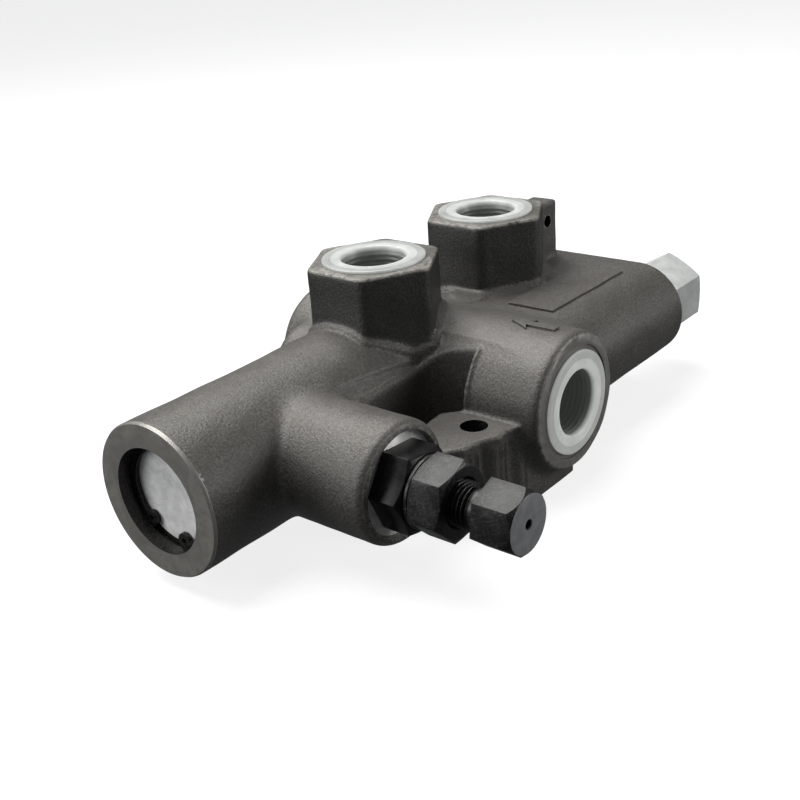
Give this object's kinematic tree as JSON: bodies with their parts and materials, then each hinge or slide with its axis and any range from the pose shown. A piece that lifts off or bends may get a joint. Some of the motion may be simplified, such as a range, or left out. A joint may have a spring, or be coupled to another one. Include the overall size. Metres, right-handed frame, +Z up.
{
  "type": "hydraulic monoblock valve",
  "caption": "Sand-cast hydraulic monoblock valve with two hexagonal top ports, opposed side ports, an adjustable relief cartridge, a spring-loaded spool and a check poppet.",
  "frame": {"origin": "centre of the line of two mounting holes, on the bottom face of the feet", "axes": "+X along the main bore away from the round nose, -Y towards the relief cartridge and the side port, +Z up through the two hexagonal ports"},
  "size_m": [0.2374, 0.159, 0.0757],
  "materials": {
    "cast_body": "oiled sand-cast iron",
    "zinc_steel": "zinc-plated, brushed",
    "black_steel": "black oxide",
    "ground_steel": "ground and hardened",
    "spring_steel": "spring steel wire",
    "seal_rubber": "nitrile, matt",
    "plug_plastic": "milky translucent polyethylene"
  },
  "bodies": {
    "root": {"valve_body": "cast_body", "end_plug": "zinc_steel", "end_plug_o_ring": "seal_rubber", "retaining_ring": "black_steel", "spool_spring": "spring_steel", "check_spring": "spring_steel", "check_cap": "zinc_steel", "check_cap_o_ring": "seal_rubber", "relief_cartridge": "black_steel", "cartridge_o_ring": "seal_rubber", "relief_seat": "ground_steel", "relief_spring": "spring_steel"},
    "spool": {"main_spool": "ground_steel", "spring_seat": "ground_steel"},
    "check_poppet": {"check_poppet": "ground_steel"},
    "relief_poppet": {"relief_poppet": "ground_steel"},
    "spring_button": {"spring_button": "ground_steel"},
    "adjusting_screw": {"adjusting_screw": "black_steel", "screw_o_ring": "seal_rubber"},
    "lock_washer": {"lock_washer": "black_steel"},
    "lock_nut": {"lock_nut": "black_steel"},
    "near_port_plug": {"near_port_plug": "plug_plastic"},
    "far_port_plug": {"far_port_plug": "plug_plastic"},
    "side_port_plug": {"side_port_plug": "plug_plastic"},
    "back_port_plug": {"back_port_plug": "plug_plastic"}
  },
  "joints": [
    {"name": "spool_shift", "type": "slide", "parent": "root", "child": "spool", "axis": [-1, 0, 0], "range_m": [0, 0.008], "stiffness_N_per_m": 3000, "springref_m": -0.006, "deforming": ["spool_spring"]},
    {"name": "check_lift", "type": "slide", "parent": "root", "child": "check_poppet", "axis": [1, 0, 0], "range_m": [0, 0.004], "stiffness_N_per_m": 600, "springref_m": -0.004, "deforming": ["check_spring"]},
    {"name": "relief_lift", "type": "slide", "parent": "root", "child": "relief_poppet", "axis": [0, -1, 0], "range_m": [0, 0.0012], "stiffness_N_per_m": 5000, "springref_m": -0.003, "deforming": ["relief_spring"]},
    {"name": "screw_advance", "type": "slide", "parent": "root", "child": "spring_button", "axis": [0, 1, 0], "range_m": [-0.003, 0.00525]},
    {"name": "screw_turn", "type": "hinge", "parent": "spring_button", "child": "adjusting_screw", "pos_m": [-0.04225, -0.09, 0.03], "axis": [0, 1, 0], "range_deg": [-720.5, 1260.5]},
    {"name": "washer_follow", "type": "slide", "parent": "root", "child": "lock_washer", "axis": [0, 1, 0], "range_m": [-0.003, 0]},
    {"name": "nut_turn", "type": "hinge", "parent": "lock_washer", "child": "lock_nut", "pos_m": [-0.04225, -0.07, 0.03], "axis": [0, 1, 0], "range_deg": [-720.5, 0]},
    {"name": "near_port_plug_pull", "type": "slide", "parent": "root", "child": "near_port_plug", "axis": [0, 0, 1], "range_m": [0, 0.016]},
    {"name": "far_port_plug_pull", "type": "slide", "parent": "root", "child": "far_port_plug", "axis": [0, 0, 1], "range_m": [0, 0.016]},
    {"name": "side_port_plug_pull", "type": "slide", "parent": "root", "child": "side_port_plug", "axis": [0, -1, 0], "range_m": [0, 0.016]},
    {"name": "back_port_plug_pull", "type": "slide", "parent": "root", "child": "back_port_plug", "axis": [0, 1, 0], "range_m": [0, 0.016]}
  ],
  "couplings": [
    {"joint": "screw_turn", "follows": "screw_advance", "rad_per_m": 4188.8},
    {"joint": "nut_turn", "follows": "washer_follow", "rad_per_m": 4188.8}
  ]
}
